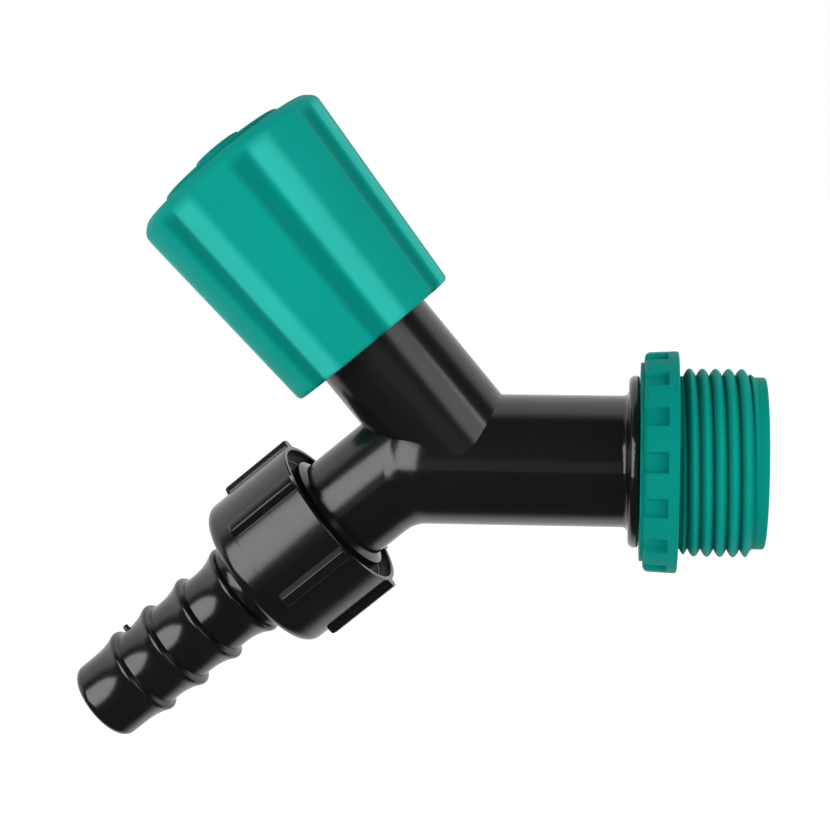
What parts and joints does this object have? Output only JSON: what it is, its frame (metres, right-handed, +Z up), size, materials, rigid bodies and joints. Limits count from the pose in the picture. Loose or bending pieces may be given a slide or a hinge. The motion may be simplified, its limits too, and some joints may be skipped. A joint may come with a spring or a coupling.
{
  "type": "garden tap",
  "caption": "Plastic garden tap with a fluted turning knob on a slanted neck, a screwed inlet adapter, and a barbed hose tail held by a union nut.",
  "frame": {"origin": "on the inlet pipe's axis, in the plane of the adapter grip ring's shoulder that meets the wall fitting", "axes": "+X along the inlet towards the wall fitting, +Z up, the neck and spout lie in the XZ plane towards -X"},
  "size_m": [0.0993, 0.0312, 0.0932],
  "materials": {
    "black_shell": "moulded, semi-gloss",
    "teal_shell": "moulded, satin",
    "seal_rubber": "matt",
    "white_acetal": "moulded, matt",
    "brass_screw": "turned",
    "steel_screw": "plated"
  },
  "bodies": {
    "inlet": {"thread_adapter": "teal_shell"},
    "inlet_seal": {"adapter_seal": "seal_rubber"},
    "body": {"tap_body": "black_shell", "headwork_bush": "black_shell", "bush_o_ring": "seal_rubber"},
    "valve": {"jumper": "white_acetal", "seat_washer": "seal_rubber", "washer_screw": "brass_screw"},
    "handle": {"knob": "teal_shell", "knob_cap": "teal_shell", "knob_screw": "steel_screw", "spindle": "white_acetal", "spindle_o_ring": "seal_rubber"},
    "outlet_seal": {"tail_washer": "seal_rubber"},
    "nut": {"union_nut": "black_shell"},
    "tail": {"hose_tail": "black_shell"}
  },
  "joints": [
    {"name": "tap_travel", "type": "slide", "parent": "inlet", "child": "inlet_seal", "axis": [-1, 0, 0], "range_m": [0, 0.00908]},
    {"name": "tap_turn", "type": "hinge", "parent": "inlet_seal", "child": "body", "pos_m": [0, 0, 0], "axis": [-1, 0, 0], "range_deg": [0, 1800]},
    {"name": "spindle_rise", "type": "slide", "parent": "body", "child": "valve", "axis": [-0.6361, 0, 0.7716], "range_m": [0, 0.00451]},
    {"name": "knob_turn", "type": "hinge", "parent": "valve", "child": "handle", "pos_m": [-0.02865, 0, 0], "axis": [-0.6361, 0, 0.7716], "range_deg": [0, 540]},
    {"name": "nut_travel", "type": "slide", "parent": "body", "child": "outlet_seal", "axis": [-0.7716, 0, -0.6361], "range_m": [0, 0.00636]},
    {"name": "nut_turn", "type": "hinge", "parent": "outlet_seal", "child": "nut", "pos_m": [-0.03243, 0, 0.00458], "axis": [-0.7716, 0, -0.6361], "range_deg": [0, 1260]},
    {"name": "tail_swivel", "type": "hinge", "parent": "outlet_seal", "child": "tail", "pos_m": [-0.03243, 0, 0.00458], "axis": [-0.7716, 0, -0.6361], "continuous": true}
  ],
  "couplings": [
    {"joint": "tap_travel", "follows": "tap_turn", "m_per_rad": 0.00028871},
    {"joint": "spindle_rise", "follows": "knob_turn", "m_per_rad": 0.00047746},
    {"joint": "nut_travel", "follows": "nut_turn", "m_per_rad": 0.00028871}
  ]
}
